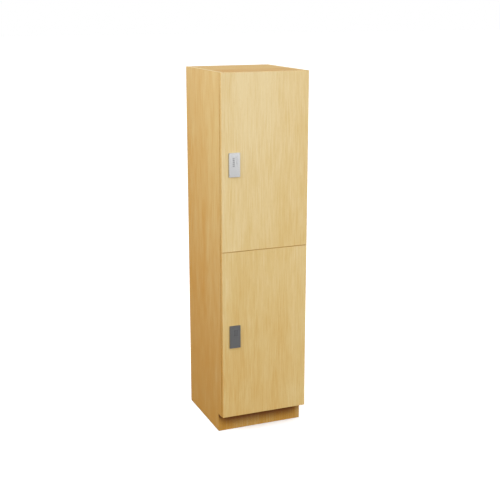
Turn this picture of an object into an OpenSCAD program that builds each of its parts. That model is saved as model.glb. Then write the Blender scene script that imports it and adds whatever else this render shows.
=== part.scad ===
// Two-tier locker cabinet of wood-grain boards, with an electronic lock on each door.
// Z = 0 is the floor, X = 0 the middle of the width, and the doors face -Y.

/* [Cabinet] */
// Height from the floor to the top
locker_h = 1820; // [1600:10:2000]
// Width over the two side panels
locker_w = 453; // [420:1:600]
// Depth from the door faces to the rear edges of the side panels
locker_d = 500; // [450:10:600]
// Thickness of the carcass boards
board_t = 19; // [18:0.5:20]
// Thickness of the back panel
back_t = 6; // [5:1:8]
// Distance the back panel stands in from the rear edges of the side panels
back_inset = 30; // [25:1:40]
// Thickness of the edge banding
band_t = 1; // [0.8:0.1:2]

/* [Base] */
// Height of the toe space under the doors
toe_h = 97; // [80:1:97]
// Distance the toe board stands back from the door faces
toe_recess = 65; // [50:1:80]
// Thickness of the floor glides under the side panels
glide_t = 2; // [2:0.5:4]

/* [Doors] */
// Thickness of a door
door_t = 19; // [19:0.5:20]
// Height of the lower edge of the lower door
door_bottom = 100.5; // [98:0.5:105]
// Gap between the two doors
split_gap = 2; // [2:0.5:4]
// Gap between the back of a door and the carcass
door_gap = 2; // [2:0.1:2.5]
// Distance a door edge stands in from the outer face of a side panel
door_reveal = 1; // [1:0.5:2]
// Distance from a door's ends to its hinges
hinge_inset = 110; // [80:5:160]

/* [Locks] */
// Width of a lock's front housing
lock_w = 56; // [54:1:60]
// Height of a lock's front housing
lock_h = 116; // [112:1:130]
// Distance a lock's front housing stands proud of the door
lock_proud = 6; // [6:0.5:12]
// Distance from the locker's left face to the middle of a lock
lock_from_left = 66; // [64:1:80]
// Distance from the middle of a door down to the middle of its lock
lock_drop = 4; // [0:1:20]
// Distance a key stands proud of the housing
key_proud = 0.8; // [0.6:0.1:1]
// Distance between the two columns of keys
key_pitch_x = 18; // [16:0.5:19]
// Distance between the rows of keys
key_pitch_z = 9.3; // [9:0.1:10]

/* [Hidden] */

$fn = 48;
fit = 0.05;  // radial clearance of a pin, dowel or screw in its hole
slide_fit = 0.2;  // clearance round a sliding part
band_joint = 0.2;  // hairline between two strips of edge banding
cut = 1;  // distance a cutting tool runs past a face

// Main planes
outer_x = locker_w / 2;
inner_x = outer_x - board_t;
door_front_y = (lock_proud + key_proud - locker_d) / 2;
door_back_y = door_front_y + door_t;
carcass_y = door_back_y + door_gap;
toe_y = door_front_y + toe_recess;
rear_y = door_front_y + locker_d;
back_rear_y = rear_y - back_inset;
back_front_y = back_rear_y - back_t;

// Doors and shelves
door_w = locker_w - 2 * door_reveal;
door_h = (locker_h - door_bottom - split_gap) / 2;
lower_door_z = door_bottom;
upper_door_z = door_bottom + door_h + split_gap;
shelf_z = upper_door_z - split_gap / 2 - board_t / 2;
top_z = locker_h - board_t;

// Wall rails behind the back panel
rail_h = 100;
upper_rail_z = top_z - rail_h;
lower_rail_z = 130;
wall_hole_r = 4;
wall_hole_x = 150;

// Dowels
dowel_r = 4;
dowel_in_board = 20;
dowel_in_side = 10;
dowel_from_edge = 60;
dowel_points = concat(
    [for (z = [toe_h, shelf_z, top_z])
        for (y = [carcass_y + dowel_from_edge, back_front_y - dowel_from_edge]) [y, z + board_t / 2]],
    [for (z = [toe_h / 3, toe_h * 2 / 3]) [toe_y + board_t / 2, z]],
    [for (rail_z = [lower_rail_z, upper_rail_z])
        for (z = [rail_h / 4, rail_h * 3 / 4]) [back_rear_y + board_t / 2, rail_z + z]]
);

// Floor glides
glide_r = 8;
glide_nail_r = 1.5;
glide_nail_l = 12;
glide_from_edge = 30;

// Concealed hinges: the arm pivot is on the carcass, the cup pivot in the door
cup_r = 17.5;
cup_depth = 13;
cup_wall = 0.8;
cup_edge = 4;
cup_x = outer_x - door_reveal - cup_edge - cup_r;
arm_pivot = [outer_x - 37, carcass_y + 9];
cup_pivot = [outer_x - 11, door_back_y - 7.8];
hinge_pin_r = 1.25;
link_half_z = 4.8;
link_t = 2.2;
link_eye_r = 2.8;
link_heel = [cup_pivot.x - 4.5, cup_pivot.y - 2.9];
link_elbow = [cup_pivot.x - 13, cup_pivot.y - 2.9];
lug_t = 2;
lug_z = link_half_z + slide_fit;
arm_wall = 1.2;
arm_half_w = 4;
arm_nose_y = carcass_y + 24;
arm_bend_y = carcass_y + 29;
arm_back_y = carcass_y + 59;
hinge_plate_t = 3;
hinge_plate_x = inner_x - hinge_plate_t;
hinge_screw_y = carcass_y + 37;
hinge_screw_z = 16;
cup_screw_x = cup_x - 9.5;
cup_screw_z = 22.5;
cup_flange_t = 0.8;
lower_hinge_z = [lower_door_z + hinge_inset, lower_door_z + door_h - hinge_inset];
upper_hinge_z = [upper_door_z + hinge_inset, upper_door_z + door_h - hinge_inset];
all_hinge_z = concat(lower_hinge_z, upper_hinge_z);

// Screws
screw_r = 1.75;
screw_l = 12;
screw_head_r = 3.5;
small_head_r = 3;
screw_head_t = 2;
back_screw_l = 30;
rail_screw_l = 18;
rail_screw_x = 75;
machine_r = 2;

// Locks, in a local frame with its origin on the door face behind the housing's middle
lock_x = lock_from_left - outer_x;
lower_lock_z = lower_door_z + door_h / 2 - lock_drop;
upper_lock_z = upper_door_z + door_h / 2 - lock_drop;
housing_t = 1.5;
housing_ledge = 3;
board_front_y = -2.2;
dome_t = 0.4;
circuit_t = 1.6;
boss_r = 4.5;
boss_z = 47;
cable_hole_r = 7;

// Keys
key_w = 10;
key_h = 6;
key_flange = 1;
key_flange_t = 0.8;
key_stem_r = 1.5;
key_travel = 0.8;
key_middle = [4.5, 13.5];
key_rows = 5;

// Reader window of the lower lock
window_size = [22, 30];
window_middle = [4.4, 20.5];

// Rear case on the inner face of the door
case_left = -41;
case_right = 29;
case_half_h = 58;
case_depth = 27;
case_wall = 2;
cover_t = 2;
cover_lip = 2;
cover_lip_t = 1.2;
case_back_y = door_t + case_depth;
machine_l = door_t + case_wall + lock_proud - housing_t - 1.5;
battery_r = 7.25;
battery_l = 50.5;
battery_pitch = 15;
battery_tip_r = 2.7;
battery_tip_t = 1;
battery_saddle = 12;
battery_z = -54;
battery_y = door_t + 15;
battery_middle_x = (case_left + case_right) / 2;

// Latch bolt, rack and pinion
bolt_z = 12;
bolt_half_z = 7;
bolt_front_y = door_t + 7;
bolt_tip_x = case_left + 0.5;
bolt_tail_x = -10;
bolt_nose = 9;
gear_module = 0.8;
pinion_teeth = 10;
pitch_r = gear_module * pinion_teeth / 2;
tooth_pitch = PI * gear_module;
tooth_above = 0.6;  // from the pitch line to a tooth's tip
tooth_below = 0.9;  // from the pitch line to a tooth's root
tooth_tip_half = 0.28;  // half the width of a tooth at its tip
rack_root_half = 0.8;  // half the width of a rack tooth at its root
pinion_pitch_half = 0.5;  // half the width of a pinion tooth at the pitch line
pinion_root_half = 0.62;  // half its width where it meets the hub
tooth_sunk = 0.4;  // how far a pinion tooth runs into the hub
rack_y = door_t + 15;
pinion_x = -24;
pinion_y = rack_y + pitch_r;
pinion_half_z = 3;
shaft_r = 1;
shaft_in_motor = 4;
motor_r = 6;
motor_l = 23;
motor_cap_r = 2.5;
motor_cap_t = 2;
motor_z = bolt_z + bolt_half_z + 1.5;
cradle_half_w = 8;
cradle_low = motor_z + 6;
cradle_high = motor_z + 16;

// Strike plates
strike_t = 1.5;
strike_h = 50;
strike_w = 16;
strike_screw_z = 18;
strike_middle_y = door_front_y + (bolt_front_y + rack_y) / 2;
pocket_depth = 10;

// Coat hooks
hook_drop = 110;
hook_plate = [22, 52, 2];
hook_r = 3.5;
hook_screw_z = 19;
hook_screw_l = back_t - 1 + hook_plate.z;

// Screws through the back panel: from behind into the boards, from inside into the rails
back_screw_points = [
    for (z = [toe_h, shelf_z])
        for (x = [-wall_hole_x, 0, wall_hole_x]) [x, z + board_t / 2]
];
rail_screw_points = [
    for (z = [lower_rail_z, upper_rail_z])
        for (side = [-1, 1]) [side * rail_screw_x, z + rail_h / 2]
];

// Door bumpers
bumper_r = 4;
bumper_t = 1.8;
bumper_inset = 40;

maple = [0.88, 0.79, 0.60];
maple_edge = [0.93, 0.86, 0.70];
satin_steel = [0.78, 0.78, 0.77];
graphite = [0.36, 0.36, 0.37];

// ---------------------------------------------------------------- helpers

module box(low, high) {
    translate(low) cube(high - low);
}

module rod_x(x0, x1, y, z, r) {
    translate([x0, y, z]) rotate([0, 90, 0]) cylinder(h = x1 - x0, r = r);
}

module rod_y(x, y0, y1, z, r) {
    translate([x, y0, z]) rotate([-90, 0, 0]) cylinder(h = y1 - y0, r = r);
}

module rod_z(x, y, z0, z1, r) {
    translate([x, y, z0]) cylinder(h = z1 - z0, r = r);
}

module rounded_rect(size, r) {
    square([size.x - 2 * r, size.y], center = true);
    square([size.x, size.y - 2 * r], center = true);
    for (x = [-1, 1])
        for (y = [-1, 1])
            translate([x * (size.x / 2 - r), y * (size.y / 2 - r)]) circle(r);
}

// A rounded rectangle in the XZ plane, from y0 back to y1
module plate_y(middle, size, r, y0, y1) {
    translate([middle.x, y1, middle.y]) rotate([90, 0, 0]) linear_extrude(y1 - y0)
        rounded_rect(size, r);
}

// A flat shape drawn in the YZ plane, given its thickness along X
module from_side(x0, thickness) {
    translate([x0, 0, 0]) rotate([90, 0, 90]) linear_extrude(thickness) children();
}

// A straight strip from point p to point q
module strip(p, q, width) {
    d = q - p;
    translate(p) rotate(atan2(d.y, d.x)) translate([0, -width / 2]) square([norm(d), width]);
}

// A pan-head screw: the head stands up from Z = 0 and has a cross slot
module screw(shaft_l, r, head_r) {
    translate([0, 0, -shaft_l]) cylinder(h = shaft_l, r = r);
    difference() {
        cylinder(h = screw_head_t, r = head_r);
        for (turn = [0, 90])
            rotate(turn) translate([-head_r * 0.6, -0.4, screw_head_t / 2])
                cube([head_r * 1.2, 0.8, screw_head_t]);
    }
}

// ---------------------------------------------------------------- carcass

module dowel_holes() {
    for (p = dowel_points)
        for (side = [-1, 1])
            rod_x(side * inner_x - (side > 0 ? dowel_in_board : dowel_in_side),
                  side * inner_x + (side > 0 ? dowel_in_side : dowel_in_board),
                  p.x, p.y, dowel_r);
}

module side_board(x0) {
    front_y = carcass_y + band_t;
    difference() {
        from_side(x0, board_t) polygon([
            [toe_y, glide_t], [rear_y, glide_t], [rear_y, locker_h - band_t],
            [front_y, locker_h - band_t], [front_y, toe_h], [toe_y, toe_h]
        ]);
        dowel_holes();
        glide_nails(fit);
    }
}

module left_side_panel() {
    color(maple) difference() {
        side_board(-outer_x);
        for (z = [lower_lock_z, upper_lock_z]) {
            box([-inner_x - pocket_depth, door_front_y + bolt_front_y - 1, z + bolt_z - bolt_half_z - 1],
                [-inner_x + cut, door_front_y + rack_y + 1.6, z + bolt_z + bolt_half_z + 1]);
            for (side = [-1, 1])
                rod_x(-inner_x - screw_l, -inner_x + cut, strike_middle_y,
                      z + bolt_z + side * strike_screw_z, screw_r + fit);
        }
    }
}

module right_side_panel() {
    color(maple) difference() {
        side_board(inner_x);
        for (z = all_hinge_z)
            for (side = [-1, 1])
                rod_x(inner_x - cut, inner_x + screw_l, hinge_screw_y, z + side * hinge_screw_z,
                      screw_r + fit);
    }
}

// A board between the side panels
module cross_board(y0, y1, z0, z1) {
    difference() {
        box([-inner_x, y0, z0], [inner_x, y1, z1]);
        dowel_holes();
        back_screw_holes();
    }
}

module back_screw_holes() {
    for (p = back_screw_points)
        rod_y(p.x, back_rear_y - back_screw_l, back_rear_y + cut, p.y, screw_r + fit);
}

module rail_screw_holes() {
    for (p = rail_screw_points)
        rod_y(p.x, back_front_y - cut, back_front_y + rail_screw_l, p.y, screw_r + fit);
}

// The top covers the upper edge of the back panel and ends level with the side panels
module top_panel() {
    color(maple) cross_board(carcass_y + band_t, rear_y, top_z, locker_h);
}

module middle_shelf() {
    color(maple) cross_board(carcass_y + band_t, back_front_y, shelf_z, shelf_z + board_t);
}

module bottom_panel() {
    color(maple) cross_board(carcass_y + band_t, back_front_y, toe_h, toe_h + board_t);
}

module wall_holes(rail_z, y0, y1) {
    for (side = [-1, 1])
        rod_y(side * wall_hole_x, y0, y1, rail_z + rail_h / 2, wall_hole_r);
}

module back_panel() {
    color(maple) difference() {
        box([-inner_x, back_front_y, toe_h], [inner_x, back_rear_y, top_z]);
        wall_holes(lower_rail_z, back_front_y - cut, back_rear_y + cut);
        wall_holes(upper_rail_z, back_front_y - cut, back_rear_y + cut);
        back_screw_holes();
        rail_screw_holes();
        for (z = [shelf_z, top_z])
            for (side = [-1, 1])
                rod_y(0, back_front_y - cut, back_rear_y + cut,
                      z - hook_drop + side * hook_screw_z, screw_r + fit);
    }
}

module wall_rail(z) {
    color(maple) difference() {
        cross_board(back_rear_y, back_rear_y + board_t, z, z + rail_h);
        wall_holes(z, back_rear_y - cut, back_rear_y + board_t + cut);
        rail_screw_holes();
    }
}

module toe_kick_board() {
    color(maple) cross_board(toe_y, toe_y + board_t, glide_t, toe_h);
}

// Separate strips on the front and top edges, with a hairline joint where two strips meet
module carcass_edge_bands() {
    end_x = inner_x - band_joint;
    color(maple_edge) {
        for (x = [-outer_x, inner_x]) {
            box([x, carcass_y, toe_h], [x + board_t, carcass_y + band_t, locker_h - band_t - band_joint]);
            box([x, carcass_y, locker_h - band_t], [x + board_t, rear_y, locker_h]);
        }
        for (z = [toe_h, shelf_z, top_z])
            box([-end_x, carcass_y, z], [end_x, carcass_y + band_t, z + board_t]);
    }
}

module wood_dowels() {
    color("burlywood")
        for (p = dowel_points)
            for (side = [-1, 1])
                rod_x(side * inner_x - (side > 0 ? dowel_in_board : dowel_in_side) + 0.5,
                      side * inner_x + (side > 0 ? dowel_in_side : dowel_in_board) - 0.5,
                      p.x, p.y, dowel_r - fit);
}

module glide_nails(extra) {
    for (x = [-outer_x + board_t / 2, outer_x - board_t / 2])
        for (y = [toe_y + glide_from_edge, rear_y - glide_from_edge])
            rod_z(x, y, glide_t - extra, glide_t + glide_nail_l + extra, glide_nail_r + extra);
}

module floor_glides() {
    color("dimgray") {
        for (x = [-outer_x + board_t / 2, outer_x - board_t / 2])
            for (y = [toe_y + glide_from_edge, rear_y - glide_from_edge])
                rod_z(x, y, 0, glide_t, glide_r);
        glide_nails(0);
    }
}

// ---------------------------------------------------------------- fittings on the carcass

module hinge_mounting_plates() {
    half_h = lug_z + arm_wall + 1;
    color("lightgray")
        for (z = all_hinge_z)
            difference() {
                union() {
                    box([hinge_plate_x, carcass_y + 18, z - half_h], [inner_x, arm_back_y, z + half_h]);
                    box([hinge_plate_x, hinge_screw_y - 7, z - hinge_screw_z - 8],
                        [inner_x, hinge_screw_y + 7, z + hinge_screw_z + 8]);
                }
                for (side = [-1, 1])
                    rod_x(hinge_plate_x - cut, inner_x + cut, hinge_screw_y,
                          z + side * hinge_screw_z, screw_r + fit);
            }
}

// A channel that carries the link's fixed pivot at its nose
module hinge_arm(z) {
    web_x = arm_pivot.x + 2;
    half_h = lug_z + arm_wall;
    difference() {
        translate([0, 0, z - half_h]) linear_extrude(2 * half_h) {
            translate(arm_pivot) circle(link_eye_r + arm_wall);
            polygon([
                arm_pivot + [-arm_half_w, 0], arm_pivot + [arm_half_w, 0], [hinge_plate_x, arm_nose_y],
                [hinge_plate_x, arm_back_y], [web_x, arm_back_y], [arm_pivot.x - 1, arm_bend_y]
            ]);
        }
        box([arm_pivot.x - 20, arm_pivot.y - 20, z - lug_z], [outer_x, arm_nose_y, z + lug_z]);
        box([web_x + arm_wall, arm_pivot.y, z - lug_z], [outer_x, arm_back_y - arm_wall, z + lug_z]);
        rod_z(arm_pivot.x, arm_pivot.y, z - half_h - cut, z + half_h + cut, hinge_pin_r + fit / 2);
    }
}

module hinge_arms() {
    color("silver") for (z = all_hinge_z) hinge_arm(z);
}

module hinge_arm_pins() {
    half_z = lug_z + arm_wall;
    color("gray") for (z = all_hinge_z)
        rod_z(arm_pivot.x, arm_pivot.y, z - half_z, z + half_z, hinge_pin_r);
}

module strike_plates() {
    color("lightgray")
        for (z = [lower_lock_z + bolt_z, upper_lock_z + bolt_z])
            difference() {
                box([-inner_x, strike_middle_y - strike_w / 2, z - strike_h / 2],
                    [-inner_x + strike_t, strike_middle_y + strike_w / 2, z + strike_h / 2]);
                box([-inner_x - cut, door_front_y + bolt_front_y - 0.5, z - bolt_half_z - 0.5],
                    [-inner_x + strike_t + cut, door_front_y + rack_y + 1.1, z + bolt_half_z + 0.5]);
                for (side = [-1, 1])
                    rod_x(-inner_x - cut, -inner_x + strike_t + cut, strike_middle_y,
                          z + side * strike_screw_z, screw_r + fit);
            }
}

module hook_prong(reach, rise) {
    start = [0, -hook_plate.z - 1, 0];
    length = norm([reach, rise]);
    translate(start) rotate([90 - atan2(rise, reach), 0, 0]) {
        cylinder(h = length, r = hook_r);
        translate([0, 0, length]) sphere(hook_r * 1.5);
    }
}

module coat_hooks() {
    color("silver")
        for (z = [shelf_z - hook_drop, top_z - hook_drop])
            translate([0, back_front_y, z]) difference() {
                union() {
                    plate_y([0, 0], [hook_plate.x, hook_plate.y], 5, -hook_plate.z, 0);
                    translate([0, 0, 4]) hook_prong(34, 26);
                    translate([0, 0, -6]) hook_prong(22, 8);
                }
                for (side = [-1, 1])
                    rod_y(0, -hook_plate.z - cut, cut, side * hook_screw_z, screw_r + fit);
            }
}

module wood_screws() {
    color("gainsboro") {
        for (z = all_hinge_z)
            for (side = [-1, 1])
                translate([hinge_plate_x, hinge_screw_y, z + side * hinge_screw_z])
                    rotate([0, -90, 0]) screw(screw_l, screw_r, screw_head_r);
        for (z = [lower_lock_z + bolt_z, upper_lock_z + bolt_z])
            for (side = [-1, 1])
                translate([-inner_x + strike_t, strike_middle_y, z + side * strike_screw_z])
                    rotate([0, 90, 0]) screw(screw_l, screw_r, small_head_r);
        for (z = [shelf_z - hook_drop, top_z - hook_drop])
            for (side = [-1, 1])
                translate([0, back_front_y - hook_plate.z, z + side * hook_screw_z])
                    rotate([90, 0, 0]) screw(hook_screw_l, screw_r, small_head_r);
        for (p = back_screw_points)
            translate([p.x, back_rear_y, p.y]) rotate([-90, 0, 0])
                screw(back_screw_l, screw_r, small_head_r);
        for (p = rail_screw_points)
            translate([p.x, back_front_y, p.y]) rotate([90, 0, 0])
                screw(rail_screw_l, screw_r, small_head_r);
    }
}

module door_bumpers() {
    color("whitesmoke")
        for (door_z = [lower_door_z, upper_door_z])
            for (z = [bumper_inset, door_h - bumper_inset])
                rod_y(-outer_x + board_t / 2, carcass_y - bumper_t, carcass_y, door_z + z, bumper_r);
}

// ---------------------------------------------------------------- doors

module door_panel(door_z, lock_z, hinge_z) {
    color(maple) difference() {
        box([-door_w / 2 + band_t, door_front_y, door_z + band_t],
            [door_w / 2 - band_t, door_back_y, door_z + door_h - band_t]);
        for (z = hinge_z) {
            rod_y(cup_x, door_back_y - cup_depth, door_back_y + cut, z, cup_r);
            for (side = [-1, 1])
                rod_y(cup_screw_x, door_back_y - screw_l, door_back_y + cut, z + side * cup_screw_z,
                      screw_r + fit);
        }
        for (side = [-1, 1])
            rod_y(lock_x, door_front_y - cut, door_back_y + cut, lock_z + side * boss_z,
                  machine_r + slide_fit);
        rod_y(lock_x, door_front_y - cut, door_back_y + cut, lock_z, cable_hole_r);
    }
}

module door_edge_band(door_z) {
    color(maple_edge) difference() {
        box([-door_w / 2, door_front_y, door_z], [door_w / 2, door_back_y, door_z + door_h]);
        box([-door_w / 2 + band_t, door_front_y - cut, door_z + band_t],
            [door_w / 2 - band_t, door_back_y + cut, door_z + door_h - band_t]);
    }
}

// A pressed steel cup with a screw flange and two lugs for the pin
module hinge_cup(z) {
    flange_y = door_back_y;
    lug_r = link_eye_r;
    difference() {
        union() {
            difference() {
                union() {
                    rod_y(cup_x, door_back_y - cup_depth, flange_y, z, cup_r - fit);
                    box([cup_x - 16, flange_y, z - cup_screw_z - 6],
                        [cup_x - 3, flange_y + cup_flange_t, z + cup_screw_z + 6]);
                }
                rod_y(cup_x, door_back_y - cup_depth + cup_wall, flange_y + cut, z, cup_r - cup_wall);
            }
            intersection() {
                for (side = [-1, 1])
                    translate([0, 0, z + side * (lug_z + lug_t / 2) - lug_t / 2]) linear_extrude(lug_t) {
                        translate(cup_pivot) circle(lug_r);
                        translate(cup_pivot - [0, lug_r]) square([cup_r, 2 * lug_r]);
                    }
                rod_y(cup_x, door_back_y - cup_depth, flange_y, z, cup_r - cup_wall / 2);
            }
        }
        rod_z(cup_pivot.x, cup_pivot.y, z - 10, z + 10, hinge_pin_r + fit / 2);
        for (side = [-1, 1])
            rod_y(cup_screw_x, flange_y - cut, flange_y + cut, z + side * cup_screw_z, screw_r + fit);
    }
}

module hinge_cups(hinge_z) {
    color("silver") for (z = hinge_z) hinge_cup(z);
}

module hinge_cup_pins(hinge_z) {
    half_z = lug_z + lug_t;
    color("gray") for (z = hinge_z)
        rod_z(cup_pivot.x, cup_pivot.y, z - half_z, z + half_z, hinge_pin_r);
}

module cup_screws(hinge_z) {
    color("gainsboro") for (z = hinge_z)
        for (side = [-1, 1])
            translate([cup_screw_x, door_back_y + cup_flange_t, z + side * cup_screw_z])
                rotate([-90, 0, 0]) screw(screw_l, screw_r, screw_head_r);
}

// A cranked strap with an eye at each pivot, which clears the rim of the cup
module hinge_links(hinge_z) {
    color("silver") for (z = hinge_z)
        translate([0, 0, z - link_half_z]) linear_extrude(2 * link_half_z) difference() {
            union() {
                for (eye = [arm_pivot, cup_pivot])
                    translate(eye) circle(link_eye_r);
                for (bend = [link_heel, link_elbow])
                    translate(bend) circle(link_t / 2);
                strip(cup_pivot, link_heel, link_t);
                strip(link_heel, link_elbow, link_t);
                strip(link_elbow, arm_pivot, link_t);
            }
            for (eye = [arm_pivot, cup_pivot])
                translate(eye) circle(hinge_pin_r + fit);
        }
}

// ---------------------------------------------------------------- locks

module at_lock(lock_z) {
    translate([lock_x, door_front_y, lock_z]) children();
}

function key_place(index) = key_middle + [
    (index % 2 - 0.5) * key_pitch_x,
    ((key_rows - 1) / 2 - floor(index / 2)) * key_pitch_z
];

// The front housing: a shallow cover with screw bosses, open towards the door
module housing_shell() {
    ledge_size = [lock_w - 2 * housing_ledge, lock_h - 2 * housing_ledge];
    recess_size = [lock_w - 2 * housing_t, lock_h - 2 * housing_t];
    difference() {
        plate_y([0, 0], [lock_w, lock_h], 3, -lock_proud, 0);
        difference() {
            union() {
                plate_y([0, 0], ledge_size, 1.5, -lock_proud + housing_t, cut);
                plate_y([0, 0], recess_size, 1, board_front_y, cut);
            }
            for (side = [-1, 1])
                rod_y(0, -lock_proud, 0, side * boss_z, boss_r);
        }
        for (side = [-1, 1])
            rod_y(0, -lock_proud + housing_t + 1, cut, side * boss_z, machine_r + fit);
    }
}

module upper_lock_housing() {
    window = [key_w + 2 * slide_fit, key_h + 2 * slide_fit];
    color(satin_steel) at_lock(upper_lock_z) difference() {
        housing_shell();
        for (index = [0 : 2 * key_rows - 1])
            plate_y(key_place(index), window, 1 + slide_fit, -lock_proud - cut, -lock_proud + housing_t + cut);
    }
}

module lower_lock_housing() {
    color(graphite) at_lock(lower_lock_z) difference() {
        housing_shell();
        plate_y(window_middle, window_size + [0.2, 0.2], 2, -lock_proud - cut, -lock_proud + housing_t + cut);
    }
}

module lower_reader_window() {
    front_y = -lock_proud + 0.3;
    back_y = -lock_proud + housing_t;
    color([0.13, 0.13, 0.14]) at_lock(lower_lock_z) {
        plate_y(window_middle, window_size, 1.9, front_y, back_y);
        plate_y(window_middle, window_size + [3, 3], 2, back_y, back_y + 1);
    }
}

// A key: a cap in its window, a flange that keeps it in, and a stem over its dome switch
module key(index) {
    place = key_place(index);
    inner_y = -lock_proud + housing_t + slide_fit;
    flange_size = [key_w + 2 * key_flange, key_h + 2 * key_flange];
    stem_end_y = board_front_y - dome_t - key_travel - 0.1;
    color(satin_steel) at_lock(upper_lock_z) {
        plate_y(place, [key_w, key_h], 1, -lock_proud - key_proud, inner_y);
        plate_y(place, flange_size, 1, inner_y, inner_y + key_flange_t);
        rod_y(place.x, inner_y, stem_end_y, place.y, key_stem_r);
    }
}

module circuit_board(lock_z) {
    size = [lock_w - 2 * housing_t - 0.4, lock_h - 2 * housing_t - 0.4];
    color("darkgreen") at_lock(lock_z) {
        difference() {
            plate_y([0, 0], size, 1, board_front_y, board_front_y + circuit_t);
            for (side = [-1, 1])
                rod_y(0, board_front_y - cut, cut, side * boss_z, boss_r + 0.5);
        }
        children();
    }
}

module upper_circuit_board() {
    circuit_board(upper_lock_z)
        for (index = [0 : 2 * key_rows - 1]) {
            place = key_place(index);
            color("silver") rod_y(place.x, board_front_y - dome_t, board_front_y, place.y, 2.5);
        }
}

module lower_circuit_board() {
    circuit_board(lower_lock_z)
        color("dimgray") plate_y(window_middle, window_size - [4, 4], 1, board_front_y - 1, board_front_y);
}

module battery_rods(r, z0, z1) {
    for (index = [0 : 3])
        rod_z(battery_middle_x + (index - 1.5) * battery_pitch, battery_y, z0, z1, r);
}

// The rear case: a tray on the door's inner face, open to the rear
module rear_case(lock_z) {
    middle = [(case_left + case_right) / 2, 0];
    size = [case_right - case_left, 2 * case_half_h];
    wall = [2 * case_wall, 2 * case_wall];
    inner_y = door_t + case_wall;
    color([0.2, 0.2, 0.21]) at_lock(lock_z) difference() {
        union() {
            difference() {
                plate_y(middle, size, 4, door_t, case_back_y);
                plate_y(middle, size - wall, 2, inner_y, case_back_y + cut);
            }
            for (z = [battery_z + battery_saddle, battery_z + battery_l - battery_saddle])
                box([case_left + 1, door_t + 1, z - 1], [case_right - 1, battery_y, z + 1]);
            box([pinion_x - cradle_half_w, door_t + 1, cradle_low],
                [pinion_x + cradle_half_w, pinion_y - motor_r / 2, cradle_high]);
        }
        battery_rods(battery_r + fit, battery_z, battery_z + battery_l);
        rod_z(pinion_x, pinion_y, motor_z, motor_z + motor_l, motor_r + fit);
        box([case_left - cut, bolt_front_y - slide_fit, bolt_z - bolt_half_z - slide_fit],
            [case_left + case_wall + cut, rack_y + gear_module, bolt_z + bolt_half_z + slide_fit]);
        for (side = [-1, 1])
            rod_y(0, door_t - cut, inner_y + cut, side * boss_z, machine_r + slide_fit);
        rod_y(0, door_t - cut, inner_y + cut, 0, cable_hole_r);
    }
}

module rear_cover(lock_z) {
    middle = [(case_left + case_right) / 2, 0];
    size = [case_right - case_left, 2 * case_half_h];
    lip_out = 2 * (case_wall + slide_fit);
    lip_in = lip_out + 2 * cover_lip_t;
    color([0.2, 0.2, 0.21]) at_lock(lock_z) {
        difference() {
            plate_y(middle, size, 4, case_back_y, case_back_y + cover_t);
            rod_x(middle.x - 10, middle.x + 10, case_back_y + cover_t + 2, 0, 3);
        }
        difference() {
            plate_y(middle, size - [lip_out, lip_out], 1.8, case_back_y - cover_lip, case_back_y);
            plate_y(middle, size - [lip_in, lip_in], 1, case_back_y - cover_lip - cut, case_back_y);
        }
    }
}

// Four cells, each with a raised contact at one end
module batteries(lock_z) {
    color([0.55, 0.56, 0.58]) at_lock(lock_z) {
        battery_rods(battery_r, battery_z, battery_z + battery_l - battery_tip_t);
        battery_rods(battery_tip_r, battery_z + battery_l - battery_tip_t, battery_z + battery_l);
    }
}

// The outline of one rack tooth, from its left root to its right root
function rack_tooth(middle_x) = [
    [middle_x - rack_root_half, rack_y - tooth_below],
    [middle_x - tooth_tip_half, rack_y + tooth_above],
    [middle_x + tooth_tip_half, rack_y + tooth_above],
    [middle_x + rack_root_half, rack_y - tooth_below]
];

// The latch bolt, seen from above, with its rack on the rear side
module latch_bolt(lock_z) {
    root_y = rack_y - tooth_below;
    shoulder_x = bolt_tip_x + bolt_nose;
    teeth = [
        for (step = [-2 : 4])
            each rack_tooth(pinion_x + (step + 0.5) * tooth_pitch)
    ];
    outline = concat(
        [[bolt_tail_x, root_y], [bolt_tail_x, bolt_front_y], [bolt_tip_x, bolt_front_y],
         [bolt_tip_x, rack_y], [shoulder_x, rack_y], [shoulder_x, root_y]],
        teeth
    );
    color("silver") at_lock(lock_z) translate([0, 0, bolt_z - bolt_half_z])
        linear_extrude(2 * bolt_half_z) polygon(outline);
}

// The pinion and its shaft; one tooth points straight at the rack
module lock_pinion(lock_z) {
    root_r = pitch_r - tooth_below;
    tip_r = pitch_r + tooth_above;
    sunk_r = root_r - tooth_sunk;
    color("goldenrod") at_lock(lock_z) translate([pinion_x, pinion_y, bolt_z]) {
        translate([0, 0, -pinion_half_z]) linear_extrude(2 * pinion_half_z) {
            circle(root_r);
            for (tooth = [0 : pinion_teeth - 1])
                rotate(-90 + tooth * 360 / pinion_teeth) polygon([
                    [sunk_r, -pinion_root_half], [pitch_r, -pinion_pitch_half], [tip_r, -tooth_tip_half],
                    [tip_r, tooth_tip_half], [pitch_r, pinion_pitch_half], [sunk_r, pinion_root_half]
                ]);
        }
        cylinder(h = motor_z - bolt_z + shaft_in_motor, r = shaft_r);
    }
}

module lock_motor(lock_z) {
    color("gray") at_lock(lock_z) difference() {
        union() {
            rod_z(pinion_x, pinion_y, motor_z, motor_z + motor_l - motor_cap_t, motor_r);
            rod_z(pinion_x, pinion_y, motor_z + motor_l - motor_cap_t, motor_z + motor_l, motor_cap_r);
        }
        rod_z(pinion_x, pinion_y, motor_z - cut, motor_z + shaft_in_motor + cut, shaft_r + fit);
    }
}

module lock_screws(lock_z) {
    color("gainsboro") at_lock(lock_z)
        for (side = [-1, 1])
            translate([0, door_t + case_wall, side * boss_z]) rotate([-90, 0, 0])
                screw(machine_l, machine_r, screw_head_r);
}

// ---------------------------------------------------------------- nodes

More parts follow.
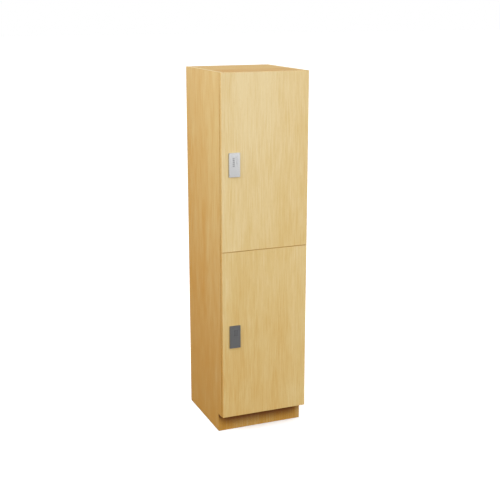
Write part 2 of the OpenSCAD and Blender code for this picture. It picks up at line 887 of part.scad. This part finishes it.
left_side_panel();
right_side_panel();
top_panel();
middle_shelf();
bottom_panel();
back_panel();
toe_kick_board();
wall_rail(upper_rail_z);  // upper_wall_rail
wall_rail(lower_rail_z);  // lower_wall_rail
carcass_edge_bands();
wood_dowels();
floor_glides();
hinge_mounting_plates();
hinge_arms();
hinge_arm_pins();
strike_plates();
coat_hooks();
wood_screws();
door_bumpers();

door_panel(upper_door_z, upper_lock_z, upper_hinge_z);  // upper_door_panel
door_edge_band(upper_door_z);  // upper_door_edge_band
hinge_cups(upper_hinge_z);  // upper_hinge_cups
hinge_cup_pins(upper_hinge_z);  // upper_hinge_cup_pins
cup_screws(upper_hinge_z);  // upper_cup_screws
hinge_links(upper_hinge_z);  // upper_hinge_links
upper_lock_housing();
upper_circuit_board();
rear_case(upper_lock_z);  // upper_rear_case
rear_cover(upper_lock_z);  // upper_rear_cover
batteries(upper_lock_z);  // upper_batteries
latch_bolt(upper_lock_z);  // upper_latch_bolt
lock_motor(upper_lock_z);  // upper_lock_motor
lock_pinion(upper_lock_z);  // upper_lock_pinion
lock_screws(upper_lock_z);  // upper_lock_screws

door_panel(lower_door_z, lower_lock_z, lower_hinge_z);  // lower_door_panel
door_edge_band(lower_door_z);  // lower_door_edge_band
hinge_cups(lower_hinge_z);  // lower_hinge_cups
hinge_cup_pins(lower_hinge_z);  // lower_hinge_cup_pins
cup_screws(lower_hinge_z);  // lower_cup_screws
hinge_links(lower_hinge_z);  // lower_hinge_links
lower_lock_housing();
lower_reader_window();
lower_circuit_board();
rear_case(lower_lock_z);  // lower_rear_case
rear_cover(lower_lock_z);  // lower_rear_cover
batteries(lower_lock_z);  // lower_batteries
latch_bolt(lower_lock_z);  // lower_latch_bolt
lock_motor(lower_lock_z);  // lower_lock_motor
lock_pinion(lower_lock_z);  // lower_lock_pinion
lock_screws(lower_lock_z);  // lower_lock_screws

key(0);  // key_1
key(1);  // key_2
key(2);  // key_3
key(3);  // key_4
key(4);  // key_5
key(5);  // key_6
key(6);  // key_7
key(7);  // key_8
key(8);  // key_9
key(9);  // key_0
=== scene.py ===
"""Looks for the two-tier locker: materials, fine pieces, floor, light and camera round the CAD frame."""
import math

import bpy
from mathutils import Matrix, Vector


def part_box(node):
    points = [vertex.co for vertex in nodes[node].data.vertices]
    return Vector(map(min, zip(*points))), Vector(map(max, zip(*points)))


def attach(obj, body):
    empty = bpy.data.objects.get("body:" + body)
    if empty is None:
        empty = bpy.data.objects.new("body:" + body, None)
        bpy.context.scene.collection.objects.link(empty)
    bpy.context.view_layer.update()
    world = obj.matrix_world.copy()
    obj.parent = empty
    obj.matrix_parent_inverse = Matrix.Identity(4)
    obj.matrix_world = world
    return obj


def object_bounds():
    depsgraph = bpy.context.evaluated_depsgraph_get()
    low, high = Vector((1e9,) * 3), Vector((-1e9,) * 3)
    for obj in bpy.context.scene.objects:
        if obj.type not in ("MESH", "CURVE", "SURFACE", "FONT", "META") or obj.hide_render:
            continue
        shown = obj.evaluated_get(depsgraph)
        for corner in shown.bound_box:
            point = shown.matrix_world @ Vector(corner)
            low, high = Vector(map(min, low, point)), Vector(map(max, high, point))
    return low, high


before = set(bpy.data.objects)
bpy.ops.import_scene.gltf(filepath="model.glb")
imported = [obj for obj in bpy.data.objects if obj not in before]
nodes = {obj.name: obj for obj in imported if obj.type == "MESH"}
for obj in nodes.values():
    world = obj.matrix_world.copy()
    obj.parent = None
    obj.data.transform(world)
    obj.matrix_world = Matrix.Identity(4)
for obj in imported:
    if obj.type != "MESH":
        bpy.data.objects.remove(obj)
cad_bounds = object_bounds()
low, high = cad_bounds
height = high.z - low.z

MM = 0.001
AXES = {"X": (1, 0, 0), "Y": (0, 1, 0), "Z": (0, 0, 1)}
HALVES = ("upper_", "lower_")
WHITE = (1, 1, 1, 1)

# ------------------------------------------------------------------ node helpers


def colour(r, g, b):
    """A linear colour from values of 0 to 255 as a screen shows them."""
    def linear(v):
        v /= 255
        return v / 12.92 if v <= 0.04045 else ((v + 0.055) / 1.055) ** 2.4
    return linear(r), linear(g), linear(b), 1.0


class Graph:
    """A material's node tree, with short calls that add a node and link its inputs."""

    def __init__(self, name):
        self.material = bpy.data.materials.new(name)
        self.material.use_nodes = True
        self.tree = self.material.node_tree
        self.tree.nodes.clear()
        self.shader = self.add("ShaderNodeBsdfPrincipled")
        output = self.add("ShaderNodeOutputMaterial")
        self.tree.links.new(self.shader.outputs[0], output.inputs[0])

    def add(self, kind, inputs=None, **settings):
        node = self.tree.nodes.new(kind)
        for key, value in settings.items():
            setattr(node, key, value)
        for key, value in (inputs or {}).items():
            self.feed(node.inputs[key], value)
        return node

    def feed(self, socket, value):
        if isinstance(value, bpy.types.NodeSocket):
            self.tree.links.new(value, socket)
        elif socket.type == "RGBA" and not isinstance(value, tuple):
            socket.default_value = (value, value, value, 1)
        else:
            socket.default_value = value

    def set(self, **inputs):
        """Sets inputs of the shader; an underscore in a name stands for a space."""
        for key, value in inputs.items():
            self.feed(self.shader.inputs[key.replace("_", " ")], value)

    def math(self, operation, a, b=0.0, c=0.0, clamp=False):
        node = self.add("ShaderNodeMath", {0: a, 1: b, 2: c}, operation=operation, use_clamp=clamp)
        return node.outputs[0]

    def vector(self, operation, a, b):
        node = self.add("ShaderNodeVectorMath", {0: a, 1: b}, operation=operation)
        return node.outputs["Value" if operation == "DOT_PRODUCT" else "Vector"]

    def coords(self, kind="Object"):
        return self.add("ShaderNodeTexCoord").outputs[kind]

    def rise(self):
        """The height above the floor, in metres."""
        return self.add("ShaderNodeSeparateXYZ", {0: self.coords()}).outputs["Z"]

    def noise(self, vector, scale, detail=2.0, roughness=0.5):
        inputs = {"Vector": vector, "Scale": scale, "Detail": detail, "Roughness": roughness}
        return self.add("ShaderNodeTexNoise", inputs).outputs["Fac"]

    def ramp(self, factor, stops):
        """A colour ramp; stops are (position, colour) pairs."""
        node = self.add("ShaderNodeValToRGB", {"Fac": factor})
        elements = node.color_ramp.elements
        while len(elements) < len(stops):
            elements.new(0.5)
        for element, (position, value) in zip(elements, stops):
            element.position = position
            element.color = value if isinstance(value, tuple) else (value, value, value, 1)
        return node.outputs["Color"]

    def mix(self, factor, a, b, blend_type="MIX"):
        node = self.add("ShaderNodeMix", data_type="RGBA", blend_type=blend_type)
        for socket, value in zip((node.inputs[0], node.inputs[6], node.inputs[7]), (factor, a, b)):
            self.feed(socket, value)
        return node.outputs[2]

    def bump(self, height_value, distance, strength=1.0):
        inputs = {"Height": height_value, "Distance": distance, "Strength": strength}
        return self.add("ShaderNodeBump", inputs).outputs[0]

    def stretched(self, grain, along, offset):
        """Object coordinates shifted by offset and shrunk along the grain, so that noise draws streaks."""
        scale = tuple(along if part else 1.0 for part in AXES[grain])
        inputs = {"Vector": self.coords(), "Location": offset, "Scale": scale}
        return self.add("ShaderNodeMapping", inputs).outputs[0]


# ------------------------------------------------------------------ wood

PALE = colour(230, 208, 158)
HONEY = colour(218, 188, 125)
AMBER = colour(202, 147, 60)
PORE = colour(160, 112, 58)
CHIP_DARK = colour(140, 104, 66)
CHIP_MIDDLE = colour(187, 153, 108)
CHIP_PALE = colour(219, 190, 146)

# The layers of the grain: stretch along the grain, noise scale, detail, roughness, share of the tone
GRAIN_LAYERS = {
    "broad": (0.10, 5.0, 2.0, 0.5, 0.50),
    "patches": (0.30, 16.0, 2.0, 0.5, 0.32),
    "streaks": (0.030, 190.0, 3.0, 0.65, 0.50),
    "lines": (0.020, 420.0, 2.0, 0.6, 0.50),
}
PORE_STRETCH = 0.040
PORE_SCALE = 1100.0
PORE_SHARE = 0.16
CHIP_SCALE = 420.0

# Painted shade: where the surface of a board with_painted_shade is hidden from above, its colour is
# multiplied by SHADOW
SHADOW = (0.22, 0.092, 0.03, 1)
SHADOW_REACH = 90 * MM
SHADOW_TILT = (0, 0, 0.8)


def shaded(g, base):
    """A colour darkened where a surface nearby hides the light from above: gaps, corners, the toe space."""
    normal = g.add("ShaderNodeNewGeometry").outputs["Normal"]
    upward = g.vector("ADD", normal, SHADOW_TILT)
    inputs = {"Normal": upward, "Distance": SHADOW_REACH}
    occlusion = g.add("ShaderNodeAmbientOcclusion", inputs, samples=16).outputs["AO"]
    shade = g.ramp(occlusion, [(0.44, SHADOW), (0.78, WHITE)])
    return g.mix(1.0, base, shade, "MULTIPLY")


def faded(g, tone, foot_shade):
    """Painted light and shade: a tone paler at the locker's head and browner by foot_shade at its foot."""
    return g.math("MULTIPLY_ADD", g.rise(), -foot_shade / height, tone + foot_shade / 2)


def wood_colour(g, tone):
    """The laminate's colour for a tone from pale to brown."""
    return g.ramp(tone, [(0.15, PALE), (0.50, HONEY), (0.90, AMBER)])


def cut_edges(g, thickness, clad_front):
    """One on the faces across a board's thickness, which aren't laminated, and zero on the rest."""
    normal = g.coords("Normal")
    across = g.math("ABSOLUTE", g.vector("DOT_PRODUCT", normal, AXES[thickness]))
    edge = g.math("LESS_THAN", across, 0.5)
    if clad_front:
        facing = g.vector("DOT_PRODUCT", normal, AXES["Y"])
        edge = g.math("MULTIPLY", edge, g.math("GREATER_THAN", facing, -0.5))
    return edge


def maple(name, grain, thickness, seed, warmth_and_shade, foot_shade, clad_front, with_painted_shade):
    """Maple-grain laminate on particle board. The board's raw edges, and its bores, show the core.

    A larger warmth_and_shade is a browner board; it is partly the board's own tone and partly painted
    shade.
    foot_shade is how much browner its foot is than its head, a painted shade. A board with_painted_shade
    is darkened in its gaps and corners: painted shade.
    """
    g = Graph(name)
    offset = (seed * 1.37, seed * 2.11, seed * 0.73)
    layers = {}
    # Painted light and shade: the tone starts paler at the head and browner at the foot.
    tone = faded(g, warmth_and_shade + 0.5, foot_shade)
    for layer, (along, scale, detail, roughness, share) in GRAIN_LAYERS.items():
        layers[layer] = g.noise(g.stretched(grain, along, offset), scale, detail, roughness)
        tone = g.math("ADD", tone, g.math("MULTIPLY", g.math("SUBTRACT", layers[layer], 0.5), share))
    pores = g.noise(g.stretched(grain, PORE_STRETCH, offset), PORE_SCALE, 2.0)
    dark_pores = g.ramp(pores, [(0.58, 0.0), (0.70, 1.0)])
    face = g.mix(g.math("MULTIPLY", dark_pores, PORE_SHARE), wood_colour(g, tone), PORE)

    edge = cut_edges(g, thickness, clad_front)
    chips = g.add("ShaderNodeTexVoronoi", {"Vector": g.coords(), "Scale": CHIP_SCALE}).outputs["Color"]
    chip_tone = g.vector("DOT_PRODUCT", chips, (0.5, 0.3, 0.2))
    core = g.ramp(chip_tone, [(0.15, CHIP_DARK), (0.5, CHIP_MIDDLE), (0.85, CHIP_PALE)])
    board = g.mix(edge, face, core)
    # Painted shade: a board with_painted_shade is darkened in its gaps, its corners and the toe space.
    g.set(Base_Color=shaded(g, board) if with_painted_shade else board)

    rough = g.math("MULTIPLY_ADD", layers["lines"], 0.16, 0.34)
    g.set(Roughness=g.mix(edge, rough, 0.85), Specular_IOR_Level=0.25)
    relief = g.math("ADD", g.math("MULTIPLY", layers["lines"], 0.5), g.math("MULTIPLY", dark_pores, -0.5))
    relief = g.mix(edge, relief, g.math("MULTIPLY", chip_tone, 4.0))
    g.set(Normal=g.bump(relief, 0.12 * MM, 0.6))
    return g.material


def edge_band(name, seed, warmth_and_shade, foot_shade, painted_top_light):
    """The edge banding: a thin strip with a faint grain, browner towards the foot as painted shade.

    A larger painted_top_light makes the edges that face up paler: a painted highlight.
    """
    g = Graph(name)
    offset = (seed, seed * 1.7, seed * 0.4)
    streaks = [g.noise(g.stretched(grain, 0.02, offset), 150.0, 3.0, 0.6) for grain in ("Z", "X")]
    streak = g.math("MULTIPLY", g.math("ADD", *streaks), 0.5)
    # Painted shade: the band is browner towards the foot.
    tone = g.math("ADD", faded(g, warmth_and_shade, foot_shade), streak)
    upward = g.vector("DOT_PRODUCT", g.coords("Normal"), AXES["Z"])
    # Painted highlight: faces that point up are made paler.
    tone = g.math("SUBTRACT", tone, g.math("MULTIPLY", upward, painted_top_light, clamp=True))
    g.set(Base_Color=wood_colour(g, tone), Roughness=0.5, Specular_IOR_Level=0.3)
    g.set(Normal=g.bump(streak, 0.05 * MM, 0.5))
    return g.material


def bare_wood(name, base):
    """Turned wood for the dowels, with long fibres."""
    g = Graph(name)
    fibres = g.noise(g.stretched("X", 0.05, (0.2, 0.5, 0.9)), 900.0, 3.0)
    darker = tuple(c * 0.7 for c in base[:3]) + (1.0,)
    g.set(Base_Color=g.mix(fibres, base, darker), Roughness=0.7)
    g.set(Normal=g.bump(fibres, 0.1 * MM, 0.6))
    return g.material


# ------------------------------------------------------------------ metals and plastics


def brushed(name, base, grain, roughness, metallic=1.0):
    """Brushed or satin metal: fine streaks along the grain in its roughness, colour and relief."""
    g = Graph(name)
    streaks = g.noise(g.stretched(grain, 0.02, (0.3, 0.1, 0.7)), 2600.0, 3.0, 0.7)
    smear = g.noise(g.coords(), 24.0, 3.0)
    shade = g.math("MULTIPLY_ADD", streaks, 0.16, 0.92)
    tint = g.add("ShaderNodeCombineColor", {0: shade, 1: shade, 2: shade}).outputs[0]
    g.set(Base_Color=g.mix(1.0, base, tint, "MULTIPLY"), Metallic=metallic)
    rough = g.math("MULTIPLY_ADD", streaks, 0.12, roughness - 0.06)
    rough = g.math("ADD", rough, g.math("MULTIPLY", g.math("SUBTRACT", smear, 0.5), 0.10))
    g.set(Roughness=rough, Normal=g.bump(streaks, 0.012 * MM, 0.7))
    return g.material


def moulded(name, base, roughness, grain_scale=1800.0, grain_depth=0.04 * MM):
    """Moulded plastic or rubber with a fine spark-eroded texture."""
    g = Graph(name)
    texture = g.noise(g.coords(), grain_scale, 2.0)
    patch = g.noise(g.coords(), 30.0, 3.0)
    lighter = tuple(min(1.0, c * 1.25 + 0.004) for c in base[:3]) + (1.0,)
    g.set(Base_Color=g.mix(patch, base, lighter))
    g.set(Roughness=g.math("MULTIPLY_ADD", patch, 0.12, roughness - 0.06))
    g.set(Normal=g.bump(texture, grain_depth, 0.6))
    return g.material


def circuit(name):
    """Green solder mask over faint square copper runs."""
    g = Graph(name)
    brick = g.add("ShaderNodeTexBrick", {"Vector": g.coords(), "Scale": 90.0, "Mortar Size": 0.03})
    runs = brick.outputs["Fac"]
    g.set(Base_Color=g.mix(runs, colour(20, 78, 44), colour(46, 120, 70)), Roughness=0.35)
    g.set(Normal=g.bump(runs, 0.03 * MM, 0.6))
    return g.material


def cell_sleeve(name, cells):
    """The printed sleeve of the cells: dark, with a copper-coloured band at the positive end."""
    cell_low, cell_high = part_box(cells)
    g = Graph(name)
    from_top = g.math("SUBTRACT", cell_high.z, g.rise())
    share = g.math("DIVIDE", from_top, cell_high.z - cell_low.z)
    copper = colour(192, 128, 72)
    stops = [(0.0, colour(200, 200, 196)), (0.02, copper), (0.27, copper), (0.28, colour(40, 42, 46))]
    smear = g.noise(g.coords(), 60.0)
    g.set(Base_Color=g.mix(g.math("MULTIPLY", smear, 0.15), g.ramp(share, stops), colour(120, 120, 120)))
    g.set(Roughness=0.28, Metallic=0.4)
    return g.material


# ------------------------------------------------------------------ finishes for the CAD nodes

# Each board's grain, the direction of its thickness, warmth_and_shade, foot_shade, whether its front edge
# is clad and whether it has painted shade (with_painted_shade). warmth_and_shade is partly the board's own
# tone and
# partly painted shade: the left side panel and the toe board are browner because they stand in shade, and
# the doors are paler where light falls on them. foot_shade is a painted shade at the foot;
# with_painted_shade darkens gaps and corners.
BOARDS = {
    "left_side_panel": ("Z", "X", 0.25, 0.34, True, True),
    "right_side_panel": ("Z", "X", 0.12, 0.10, True, True),
    "top_panel": ("X", "Z", 0.20, 0.0, False, True),
    "middle_shelf": ("X", "Z", 0.06, 0.0, False, True),
    "bottom_panel": ("X", "Z", 0.08, 0.0, False, True),
    "back_panel": ("Z", "Y", 0.05, 0.0, False, True),
    "toe_kick_board": ("Z", "Y", 0.35, 0.0, False, True),
    "upper_wall_rail": ("X", "Y", 0.12, 0.0, False, True),
    "lower_wall_rail": ("X", "Y", 0.18, 0.0, False, True),
    "upper_door_panel": ("Z", "Y", -0.09, 0.26, False, False),
    "lower_door_panel": ("Z", "Y", -0.08, 0.34, False, False),
}

# Each edge band's material name, seed, warmth_and_shade (its own tone, partly a painted shade that browns
# the door bands like the shaded left side), foot_shade (painted shade at the foot) and painted_top_light (a
# painted highlight on the faces that point up)
EDGE_BANDS = {
    "carcass_edge_bands": ("carcass_band", 0.5, 0.35, 0.20, 0.50),
    "upper_door_edge_band": ("upper_band", 2, 0.24, 0.34, 0.30),
    "lower_door_edge_band": ("lower_band", 3, 0.24, 0.34, 0.0),
}

# Each metal's colour, the direction of its brushing and its roughness
METALS = {
    "nickel_plate": ((0.62, 0.61, 0.59, 1), "Z", 0.24),
    "zinc_plate": ((0.52, 0.53, 0.54, 1), "Z", 0.34),
    "satin_chrome": ((0.74, 0.74, 0.75, 1), "Z", 0.16),
    "satin_silver": ((0.455, 0.458, 0.462, 1), "Z", 0.34),
    "key_silver": ((0.48, 0.484, 0.488, 1), "X", 0.30),
    # Painted shade: the darker copy of the key silver below stands in for shade on the left column of keys.
    "key_dark_silver": ((0.29, 0.292, 0.295, 1), "X", 0.30),
    "pinion_brass": ((0.66, 0.47, 0.17, 1), "X", 0.26),
    "motor_can": ((0.48, 0.48, 0.47, 1), "X", 0.30),
}


def finish_node(node, material):
    """Gives a CAD node one material, in every slot it has."""
    slots = nodes[node].material_slots
    for material_slot in slots:
        material_slot.material = material
    if not slots:
        nodes[node].data.materials.append(material)


def soften(node, width, segments=2):
    """Rounds a CAD node's sharp edges, after joining the vertices its faces share."""
    weld = nodes[node].modifiers.new("weld", "WELD")
    weld.merge_threshold = 0.01 * MM
    bevel = nodes[node].modifiers.new("soft_edges", "BEVEL")
    bevel.width = width
    bevel.segments = segments
    bevel.limit_method = "ANGLE"
    bevel.angle_limit = math.radians(40)
    bevel.use_clamp_overlap = True


def finish_wood():
    for seed, (node, (grain, thickness, *look)) in enumerate(BOARDS.items(), start=3):
        finish_node(node, maple("laminate_" + node, grain, thickness, seed, *look))
    for node, look in EDGE_BANDS.items():
        finish_node(node, edge_band(*look))
    finish_node("wood_dowels", bare_wood("dowel_beech", colour(196, 158, 112)))


def finish_fittings(metal):
    nickel = metal["nickel_plate"]
    zinc = metal["zinc_plate"]
    plain = {
        "floor_glides": moulded("glide_plastic", (0.03, 0.03, 0.03, 1), 0.45),
        "door_bumpers": moulded("bumper_rubber", (0.60, 0.60, 0.57, 1), 0.40, 300.0, 0.02 * MM),
        "hinge_mounting_plates": nickel, "hinge_arms": nickel, "hinge_arm_pins": zinc,
        "strike_plates": zinc, "wood_screws": zinc, "coat_hooks": metal["satin_chrome"],
    }
    for half in HALVES:
        plain.update({
            half + "hinge_cups": nickel, half + "hinge_links": nickel,
            half + "hinge_cup_pins": zinc, half + "cup_screws": zinc,
        })
    for node, material in plain.items():
        finish_node(node, material)


def finish_locks(metal):
    zinc = metal["zinc_plate"]
    case = moulded("case_plastic", (0.022, 0.022, 0.024, 1), 0.50)
    graphite = brushed("graphite_paint", (0.16, 0.16, 0.162, 1), "Z", 0.38, metallic=0.55)
    reader = moulded("reader_plastic", (0.10, 0.101, 0.104, 1), 0.16, 1200.0, 0.004 * MM)
    solder_mask = circuit("solder_mask")
    plain = {
        "upper_lock_housing": metal["satin_silver"],
        "lower_lock_housing": graphite,
        "lower_reader_window": reader,
    }
    for half in HALVES:
        plain.update({
            half + "lock_screws": zinc, half + "latch_bolt": zinc,
            half + "rear_case": case, half + "rear_cover": case,
            half + "circuit_board": solder_mask, half + "lock_motor": metal["motor_can"],
            half + "lock_pinion": metal["pinion_brass"],
            half + "batteries": cell_sleeve(half + "cell_sleeve", half + "batteries"),
        })
        soften(half + "lock_housing", 0.6 * MM, 3)
        soften(half + "rear_cover", 0.6 * MM)
        soften(half + "rear_case", 0.4 * MM)
    for digit in range(10):
        in_left_column = digit % 2 == 1
        # Painted shade: keys in the left column take the darker copy of the key silver.
        plain["key_%d" % digit] = metal["key_dark_silver" if in_left_column else "key_silver"]
        soften("key_%d" % digit, 0.25 * MM)
    for node, material in plain.items():
        finish_node(node, material)


metals = {name: brushed(name, *look) for name, look in METALS.items()}
finish_wood()
finish_fittings(metals)
finish_locks(metals)

# ------------------------------------------------------------------ fine pieces

DIGIT_SIZE = 5.2 * MM
DIGIT_RELIEF = 0.04 * MM


def digit_mesh(digit):
    """A digit as a thin slab in the X-Y plane, round the origin."""
    curve = bpy.data.curves.new("digit", "FONT")
    curve.body = str(digit)
    curve.size = DIGIT_SIZE
    curve.align_x = "CENTER"
    curve.align_y = "CENTER"
    curve.extrude = DIGIT_RELIEF
    curve.resolution_u = 3
    mark = bpy.data.objects.new("digit", curve)
    bpy.context.scene.collection.objects.link(mark)
    bpy.context.view_layer.update()
    mesh = bpy.data.meshes.new_from_object(mark)
    bpy.data.objects.remove(mark)
    return mesh


def digit_mark(digit, ink):
    """A printed digit on the front of its key."""
    key = "key_%d" % digit
    key_low, key_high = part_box(key)
    middle = (key_low + key_high) / 2
    mesh = digit_mesh(digit)
    upright = Matrix.Rotation(math.radians(90), 4, "X")
    mesh.transform(Matrix.Translation((middle.x, key_low.y, middle.z)) @ upright)
    mesh.materials.clear()
    mesh.materials.append(ink)
    piece = bpy.data.objects.new(key + "_digit", mesh)
    bpy.context.scene.collection.objects.link(piece)
    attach(piece, key)


key_ink = moulded("key_ink", (0.02, 0.02, 0.022, 1), 0.5, 900.0, 0.01 * MM)
for digit in range(10):
    digit_mark(digit, key_ink)

# ------------------------------------------------------------------ floor, light and camera

FLOOR_REACH = 60.0

# The world's light from in front of the locker and from behind it
WORLD_FRONT = 1.4
WORLD_REAR = 0.4

# Each light's place, the point it faces, its width and height, and its power in watts
LIGHTS = {
    "key": ((2.4, -4.1, 1.7), (0.1, 0, 0.9), (2.4, 1.8), 53),
    "left": ((-2.6, -0.45, 2.2), (0, 0, 1.1), (1.6, 1.6), 39),
    "rim": ((-2.2, 4.4, 2.6), (0, 0, 1.4), (2.0, 1.2), 28),
    "top": ((0.0, 0.7, 4.4), (0, 0, 1.8), (1.2, 1.2), 13.5),
}

# The photograph's viewing angle; lengths are shares of the locker's height
VIEW_AZIMUTH = math.radians(-22.164)
VIEW_ELEVATION = math.radians(14.356)
VIEW_DISTANCE = 2.3381
VIEW_LEFT = 0.0115
VIEW_FORWARD = 0.2265
VIEW_RISE = 0.5914
VIEW_LENS = 69.5


def add_floor():
    """A white floor that fades into the backdrop. It throws little light up: the toe space stays dark."""
    g = Graph("studio_floor")
    rays = g.add("ShaderNodeLightPath").outputs
    seen = g.mix(g.noise(g.coords(), 3.0, 4.0), (0.93, 0.93, 0.93, 1), (0.96, 0.96, 0.96, 1))
    reflected = g.mix(rays["Is Glossy Ray"], 0.08, 0.35)
    g.set(Base_Color=g.mix(rays["Is Camera Ray"], reflected, seen))
    g.set(Roughness=0.9, Specular_IOR_Level=0.0)
    g.set(Emission_Color=WHITE, Emission_Strength=g.math("MULTIPLY", rays["Is Camera Ray"], 0.35))
    corners = [(x * FLOOR_REACH, y * FLOOR_REACH, 0) for x, y in ((-1, -1), (1, -1), (1, 1), (-1, 1))]
    mesh = bpy.data.meshes.new("floor")
    mesh.from_pydata(corners, [], [(0, 1, 2, 3)])
    mesh.materials.append(g.material)
    floor = bpy.data.objects.new("floor", mesh)
    floor.location.z = low.z
    bpy.context.scene.collection.objects.link(floor)


def add_world():
    """A white backdrop whose light is stronger from in front of the locker than from behind it."""
    world = bpy.data.worlds.new("studio")
    bpy.context.scene.world = world
    world.use_nodes = True
    tree = world.node_tree
    links = tree.links
    direction = tree.nodes.new("ShaderNodeTexCoord").outputs["Generated"]
    split = tree.nodes.new("ShaderNodeSeparateXYZ")
    links.new(direction, split.inputs[0])
    side = tree.nodes.new("ShaderNodeMapRange")
    links.new(split.outputs["Y"], side.inputs["Value"])
    ends = {"From Min": -0.6, "From Max": 0.6, "To Min": WORLD_FRONT, "To Max": WORLD_REAR}
    for name, value in ends.items():
        side.inputs[name].default_value = value
    seen = tree.nodes.new("ShaderNodeMix")
    links.new(tree.nodes.new("ShaderNodeLightPath").outputs["Is Camera Ray"], seen.inputs[0])
    links.new(side.outputs[0], seen.inputs[2])
    seen.inputs[3].default_value = 1.0
    background = tree.nodes["Background"]
    background.inputs[0].default_value = WHITE
    links.new(seen.outputs[0], background.inputs[1])


def add_area(name, location, aim, size, power):
    light = bpy.data.lights.new(name, "AREA")
    light.shape = "RECTANGLE"
    light.size, light.size_y = size
    light.energy = power
    lamp = bpy.data.objects.new(name, light)
    lamp.location = location
    lamp.rotation_euler = (Vector(aim) - Vector(location)).to_track_quat("-Z", "Y").to_euler()
    bpy.context.scene.collection.objects.link(lamp)


def add_camera():
    """A camera at the photograph's viewing angle, aimed from the locker's left front corner."""
    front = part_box("upper_door_panel")[0].y
    target = Vector((low.x - VIEW_LEFT * height, front - VIEW_FORWARD * height, VIEW_RISE * height))
    level = math.cos(VIEW_ELEVATION)
    rise = math.sin(VIEW_ELEVATION)
    away = Vector((math.sin(VIEW_AZIMUTH) * level, -math.cos(VIEW_AZIMUTH) * level, rise))
    camera_data = bpy.data.cameras.new("camera")
    camera_data.sensor_width = 36.0
    camera_data.lens = VIEW_LENS
    camera = bpy.data.objects.new("camera", camera_data)
    camera.location = target + away * VIEW_DISTANCE * height
    camera.rotation_euler = (-away).to_track_quat("-Z", "Y").to_euler()
    bpy.context.scene.collection.objects.link(camera)
    bpy.context.scene.camera = camera


add_floor()
add_world()
for name, setup in LIGHTS.items():
    add_area(name, *setup)
add_camera()
bpy.context.scene.view_settings.view_transform = "Standard"
